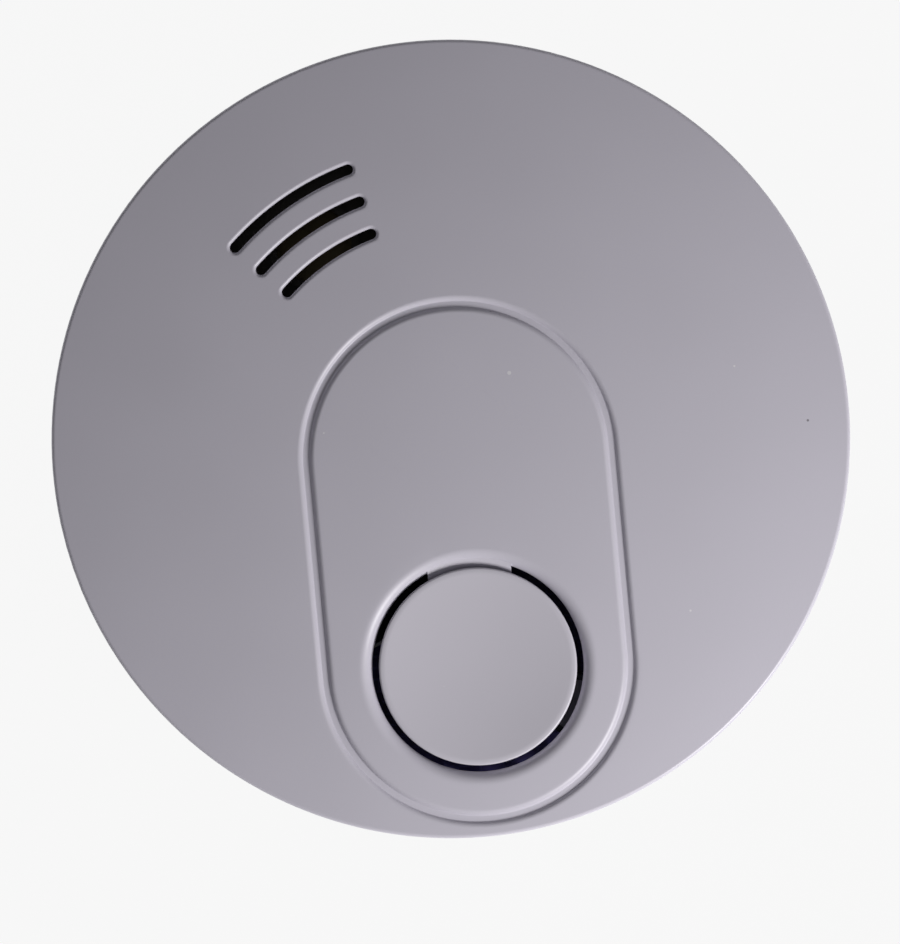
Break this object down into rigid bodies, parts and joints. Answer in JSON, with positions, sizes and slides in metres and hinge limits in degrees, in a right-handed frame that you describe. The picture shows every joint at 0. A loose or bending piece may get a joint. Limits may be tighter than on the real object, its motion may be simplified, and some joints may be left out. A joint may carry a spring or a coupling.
{
  "type": "smoke detector",
  "caption": "Round ceiling smoke alarm with domed cover, curved sounder slots, round test button in a racetrack channel, vent ring and twist-on screw bracket.",
  "frame": {"origin": "centre of the bracket's mounting face, which lies against the ceiling", "axes": "+Z out of the ceiling into the room, along the alarm's axis; +Y from the test button towards the top of its racetrack channel; +X to the right seen from the room"},
  "size_m": [0.105, 0.105, 0.035],
  "materials": {
    "cover_plastic": "fine-grained off-white moulded plastic",
    "button_plastic": "off-white moulded plastic, slightly smoother",
    "housing_plastic": "off-white moulded plastic",
    "bracket_plastic": "off-white moulded plastic",
    "vent_plastic": "off-white moulded plastic",
    "board_laminate": "solder-masked glass laminate",
    "chamber_plastic": "light-trapping black plastic",
    "mesh_metal": "etched stainless band",
    "optic_epoxy": "tinted epoxy",
    "lead_metal": "tinned wire",
    "shield_metal": "tinned sheet",
    "horn_plastic": "dark brown moulded plastic",
    "brass_sheet": "bare brass disc",
    "silvered_ceramic": "silvered ceramic",
    "spring_steel": "plated spring steel",
    "ic_plastic": "black moulding compound",
    "ferrite": "sintered ferrite",
    "copper_wire": "enamelled copper winding",
    "can_aluminium": "drawn aluminium can",
    "sleeve_plastic": "shrunk plastic sleeve",
    "chip_ceramic": "small glazed chips",
    "led_epoxy": "green diffused epoxy",
    "battery_jacket": "printed steel jacket, left plain",
    "cell_steel": "plated cells",
    "battery_plastic": "black end plate",
    "snap_plating": "nickel-plated snaps",
    "block_plastic": "black insulating plate",
    "switch_plastic": "black switch case",
    "plunger_plastic": "pale switch plunger",
    "red_insulation": "red wire insulation",
    "black_insulation": "black wire insulation",
    "label_paper": "blank polyester sticker",
    "screw_steel": "zinc-plated screw"
  },
  "bodies": {
    "bracket": {"mounting_bracket": "bracket_plastic"},
    "alarm": {"rear_housing": "housing_plastic", "vent_ring": "vent_plastic", "front_cover": "cover_plastic", "test_switch_body": "switch_plastic", "switch_terminals": "lead_metal", "circuit_board": "board_laminate", "board_screws": "screw_steel", "chamber_base": "chamber_plastic", "chamber_cap": "chamber_plastic", "insect_mesh": "mesh_metal", "ir_emitter": "optic_epoxy", "light_receiver": "optic_epoxy", "sensor_leads": "lead_metal", "receiver_shield": "shield_metal", "horn_housing": "horn_plastic", "piezo_plate": "brass_sheet", "piezo_ceramic": "silvered_ceramic", "horn_contacts": "spring_steel", "controller_ic": "ic_plastic", "controller_pins": "lead_metal", "coil_core": "ferrite", "coil_winding": "copper_wire", "capacitor_cans": "can_aluminium", "capacitor_sleeves": "sleeve_plastic", "chip_parts": "chip_ceramic", "status_led": "led_epoxy", "led_leads": "lead_metal", "battery_can": "battery_jacket", "battery_cells": "cell_steel", "battery_top_plate": "battery_plastic", "battery_base_plate": "battery_plastic", "battery_positive_snap": "snap_plating", "battery_negative_snap": "snap_plating", "terminal_block": "block_plastic", "positive_contact": "spring_steel", "negative_contact": "spring_steel", "positive_wire": "red_insulation", "negative_wire": "black_insulation", "rating_label": "label_paper"},
    "test_button": {"test_button": "button_plastic"},
    "switch_plunger": {"switch_plunger": "plunger_plastic"}
  },
  "joints": [
    {"name": "bayonet_twist", "type": "hinge", "parent": "bracket", "child": "alarm", "pos_m": [0, 0, 0.0052], "axis": [0, 0, 1], "range_deg": [0, 15]},
    {"name": "button_press", "type": "hinge", "parent": "alarm", "child": "test_button", "pos_m": [0.00085, -0.01547, 0.03295], "axis": [1, 0, 0], "range_deg": [0, 1.2], "stiffness_Nm_per_rad": 2.7},
    {"name": "switch_travel", "type": "slide", "parent": "alarm", "child": "switch_plunger", "axis": [0, 0, -1], "range_m": [0, 0.00031]}
  ],
  "couplings": [
    {"joint": "switch_travel", "follows": "button_press", "m_per_rad": 0.0146}
  ]
}
